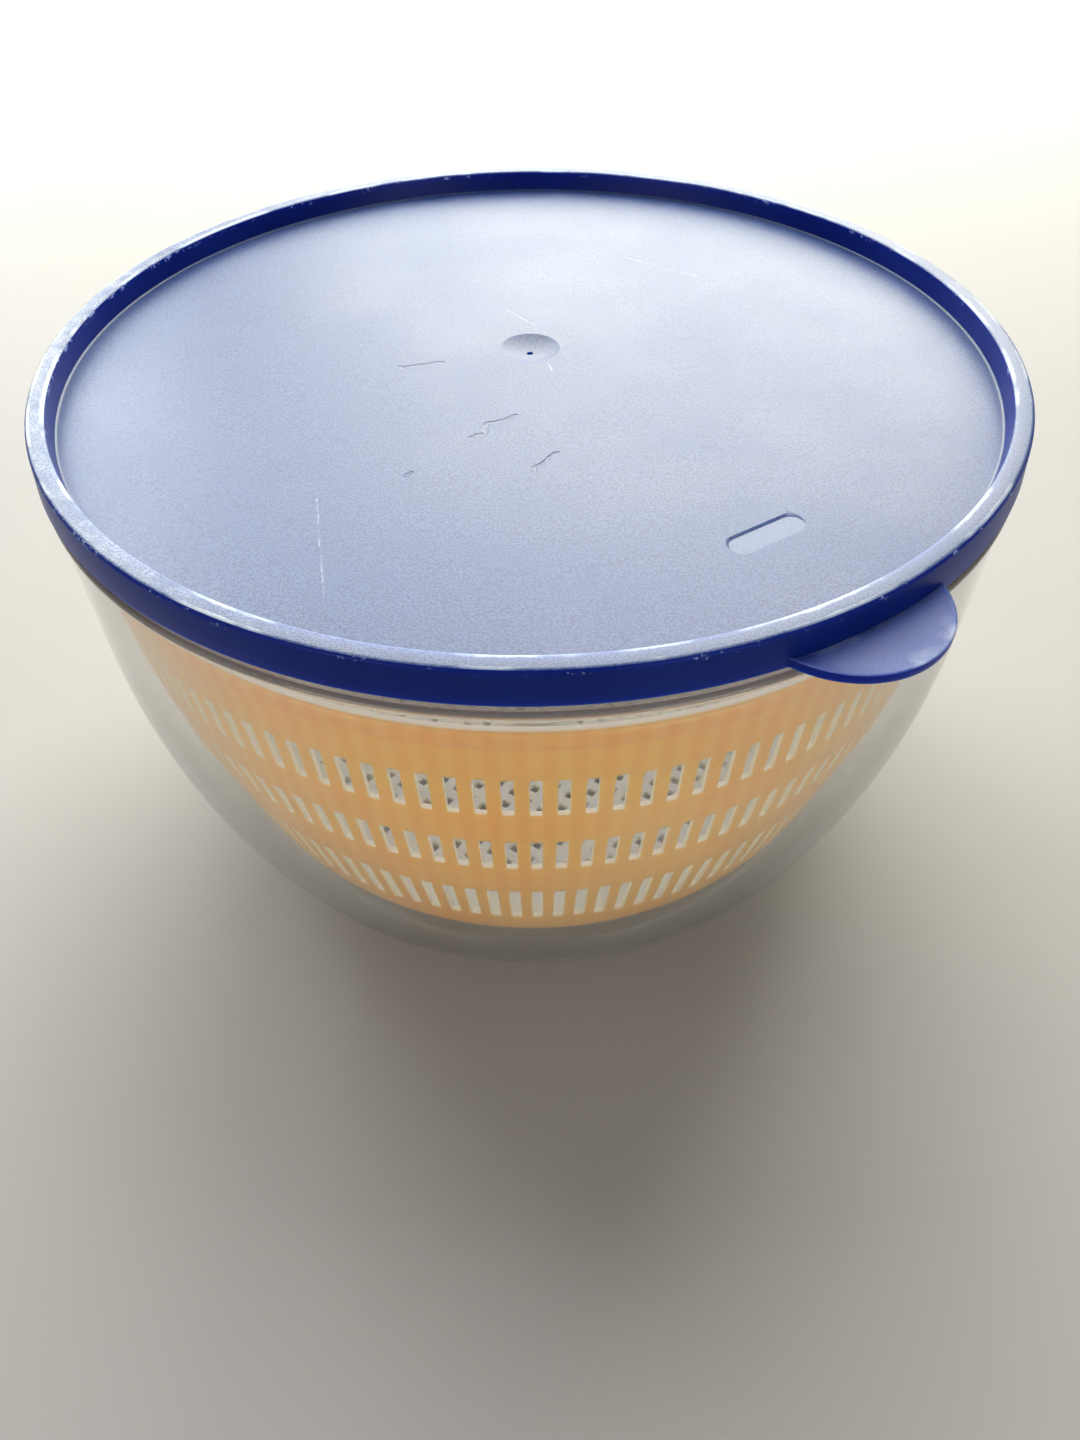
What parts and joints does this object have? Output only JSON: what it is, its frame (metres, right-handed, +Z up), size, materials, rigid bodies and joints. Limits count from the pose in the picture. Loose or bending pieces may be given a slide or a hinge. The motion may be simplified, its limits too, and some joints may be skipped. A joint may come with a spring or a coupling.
{
  "type": "salad spinner",
  "caption": "Round clear bowl with a slotted basket that spins on a centre pivot, closed by a flexible press-on storage lid with a pull tab.",
  "frame": {"origin": "on the spin axis, at the middle of the face the bowl stands on", "axes": "+Z up along the spin axis; the front is -Y and the lid's pull tab is to the front right, 32 degrees from -Y towards +X"},
  "size_m": [0.2656, 0.2656, 0.16],
  "materials": {
    "clear_bowl": "gloss",
    "pin_steel": "satin",
    "bearing_plastic": "matte",
    "basket_plastic": "satin",
    "lid_plastic": "textured"
  },
  "bodies": {
    "bowl": {"bowl": "clear_bowl", "pivot_pin": "pin_steel"},
    "pivot": {"bearing_cup": "bearing_plastic"},
    "basket": {"basket": "basket_plastic"},
    "lid": {"storage_lid": "lid_plastic"}
  },
  "joints": [
    {"name": "basket_lift", "type": "slide", "parent": "bowl", "child": "pivot", "axis": [0, 0, 1], "range_m": [0, 0.15]},
    {"name": "basket_spin", "type": "hinge", "parent": "pivot", "child": "basket", "pos_m": [0, 0, 0.02], "axis": [0, 0, 1], "continuous": true},
    {"name": "lid_lift", "type": "slide", "parent": "pivot", "child": "lid", "axis": [0, 0, 1], "range_m": [0, 0.06]}
  ]
}
